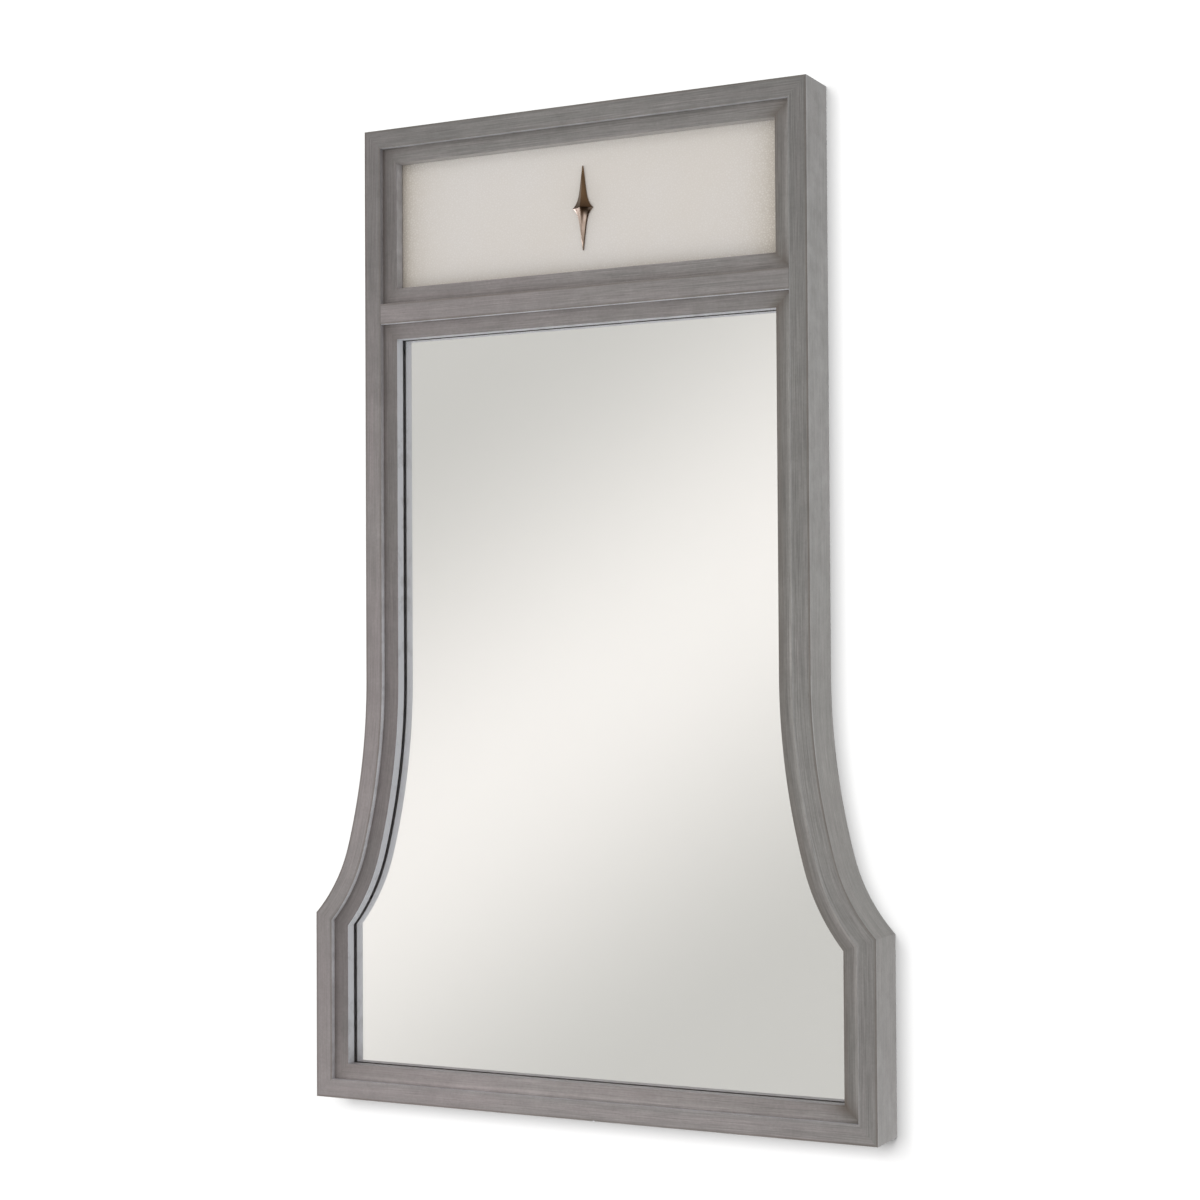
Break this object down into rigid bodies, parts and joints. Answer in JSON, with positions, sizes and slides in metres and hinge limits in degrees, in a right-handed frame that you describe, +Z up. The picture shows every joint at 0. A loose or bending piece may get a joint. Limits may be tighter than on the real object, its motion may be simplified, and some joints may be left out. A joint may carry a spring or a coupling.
{
  "type": "wall mirror",
  "caption": "Tall wall mirror in a stepped grey wooden frame whose sides flare out to a wide base block, with a leather panel and a star boss above the glass.",
  "frame": {"origin": "on the wall plane, half way between the two screw holes of the wall cleat", "axes": "+X to the right of someone facing the mirror, +Y into the wall, +Z up"},
  "size_m": [0.913, 0.077, 1.48],
  "materials": {
    "frame_wood": "grey glaze over brushed wood, arrises rubbed lighter",
    "liner_wood": "grey glaze over brushed wood, darker in the inner corners",
    "glass": "clear float glass with polished edges",
    "silver": "silvered, painted on its back",
    "leather": "cream leather with a fine pebble grain",
    "bronze": "cast bronze, dark patina rubbed brighter on its ridges",
    "backing_board": "brown fibreboard",
    "raw_wood": "bare planed wood",
    "steel": "bright zinc-plated steel",
    "aluminium": "mill finish extrusion",
    "rubber": "dense black rubber"
  },
  "bodies": {
    "root": {"top_rail": "frame_wood", "middle_rail": "frame_wood", "bottom_rail": "frame_wood", "left_stile": "frame_wood", "right_stile": "frame_wood", "left_flare": "frame_wood", "right_flare": "frame_wood", "left_base_stile": "frame_wood", "right_base_stile": "frame_wood", "panel_liner_top": "liner_wood", "panel_liner_bottom": "liner_wood", "panel_liner_left": "liner_wood", "panel_liner_right": "liner_wood", "mirror_liner_top": "liner_wood", "mirror_liner_bottom": "liner_wood", "left_stile_liner": "liner_wood", "right_stile_liner": "liner_wood", "left_flare_liner": "liner_wood", "right_flare_liner": "liner_wood", "left_base_liner": "liner_wood", "right_base_liner": "liner_wood", "mirror_glass": "glass", "silver_coating": "silver", "mirror_backing": "backing_board", "setting_blocks": "rubber", "panel_board": "backing_board", "leather_cover": "leather", "star_boss": "bronze", "boss_washer": "steel", "boss_nut": "steel", "retaining_clips": "steel", "clip_screws": "steel", "joint_dowels": "raw_wood", "glue_blocks": "raw_wood", "hanging_rail": "raw_wood", "frame_cleat": "aluminium", "frame_cleat_screws": "steel", "wall_cleat": "aluminium"}
  },
  "joints": []
}
